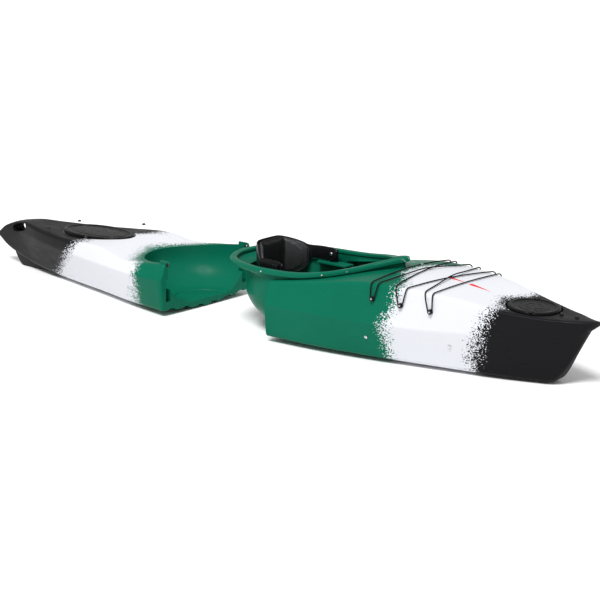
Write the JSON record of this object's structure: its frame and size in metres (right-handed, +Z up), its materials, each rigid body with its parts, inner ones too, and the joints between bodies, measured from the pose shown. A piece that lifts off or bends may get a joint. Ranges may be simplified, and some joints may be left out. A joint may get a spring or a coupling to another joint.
{
  "type": "take-apart kayak",
  "caption": "Hard-chine sit-in kayak in two sections that draw apart at a socket joint, with seat, hinged backrest, foot pedals, laced deck cord and two hatches.",
  "frame": {"origin": "bottom centre of the whole kayak's box with its sections drawn apart as shown", "axes": "+X to the bow, +Y to port, +Z up"},
  "size_m": [3.814, 0.6588, 0.44],
  "materials": {
    "bow_hull": "rotomoulded polyethylene, green fading to black at the bow through a white band",
    "stern_hull": "rotomoulded polyethylene, white between a green socket and a black tip",
    "seat_pan": "moulded polyethylene",
    "backrest_shell": "moulded, fine texture",
    "backrest_pad": "woven cover over foam",
    "foam": "closed-cell foam",
    "hatch_rim": "moulded",
    "hatch_seal": "soft",
    "hatch_lid": "matt moulded rubber",
    "fin": "moulded",
    "pedals": "moulded, ribbed",
    "fittings": "moulded nylon",
    "bolts": "stainless",
    "cord": "braided sheath over rubber"
  },
  "bodies": {
    "bow_section": {"bow_hull": "bow_hull", "bow_bulkhead": "foam", "bow_hatch_rim": "hatch_rim", "bow_hatch_seal": "hatch_seal", "seat_pan": "seat_pan", "seat_foam_block": "foam", "seat_side_port": "seat_pan", "backrest_bracket_port": "fittings", "backrest_bolt_port": "bolts", "footbrace_rail_port": "fittings", "rail_bolt_port_1": "bolts", "rail_bolt_port_2": "bolts", "bungee_fitting_port_1": "fittings", "fitting_screw_port_1": "bolts", "coaming_screw_port_1": "bolts", "bungee_fitting_port_2": "fittings", "fitting_screw_port_2": "bolts", "coaming_screw_port_2": "bolts", "bungee_fitting_port_3": "fittings", "fitting_screw_port_3": "bolts", "coaming_screw_port_3": "bolts", "seat_side_starboard": "seat_pan", "backrest_bracket_starboard": "fittings", "backrest_bolt_starboard": "bolts", "footbrace_rail_starboard": "fittings", "rail_bolt_starboard_1": "bolts", "rail_bolt_starboard_2": "bolts", "bungee_fitting_starboard_1": "fittings", "fitting_screw_starboard_1": "bolts", "coaming_screw_starboard_1": "bolts", "bungee_fitting_starboard_2": "fittings", "fitting_screw_starboard_2": "bolts", "coaming_screw_starboard_2": "bolts", "bungee_fitting_starboard_3": "fittings", "fitting_screw_starboard_3": "bolts", "coaming_screw_starboard_3": "bolts", "deck_bungee": "cord", "bungee_crimp": "bolts", "bow_pad_eye_1": "fittings", "bow_pad_eye_2": "fittings"},
    "stern_section": {"stern_hull": "stern_hull", "tracking_fin": "fin", "stern_hatch_rim": "hatch_rim", "stern_hatch_seal": "hatch_seal", "stern_pad_eye_port_1": "fittings", "stern_pad_eye_port_2": "fittings", "tongue_bush_port": "fittings", "stern_pad_eye_starboard_1": "fittings", "stern_pad_eye_starboard_2": "fittings", "tongue_bush_starboard": "fittings"},
    "backrest": {"backrest_shell": "backrest_shell", "backrest_pad": "backrest_pad"},
    "pedal_port": {"foot_pedal_port": "pedals"},
    "pedal_starboard": {"foot_pedal_starboard": "pedals"},
    "bow_lid": {"bow_hatch_lid": "hatch_lid"},
    "stern_lid": {"stern_hatch_lid": "hatch_lid"}
  },
  "joints": [
    {"name": "section_dock", "type": "slide", "parent": "bow_section", "child": "stern_section", "axis": [1, 0, 0], "range_m": [0, 0.6735]},
    {"name": "backrest_fold", "type": "hinge", "parent": "bow_section", "child": "backrest", "pos_m": [0.252, 0, 0.325], "axis": [0, 1, 0], "range_deg": [0, 70]},
    {"name": "pedal_port_slide", "type": "slide", "parent": "bow_section", "child": "pedal_port", "axis": [0.9833, -0.1784, 0.0354], "range_m": [-0.12, 0.12]},
    {"name": "pedal_starboard_slide", "type": "slide", "parent": "bow_section", "child": "pedal_starboard", "axis": [0.9833, 0.1784, 0.0354], "range_m": [-0.12, 0.12]},
    {"name": "bow_lid_lift", "type": "slide", "parent": "bow_section", "child": "bow_lid", "axis": [0.0748, 0, 0.9972], "range_m": [0, 0.08]},
    {"name": "stern_lid_lift", "type": "slide", "parent": "stern_section", "child": "stern_lid", "axis": [0, 0, 1], "range_m": [0, 0.08]}
  ]
}
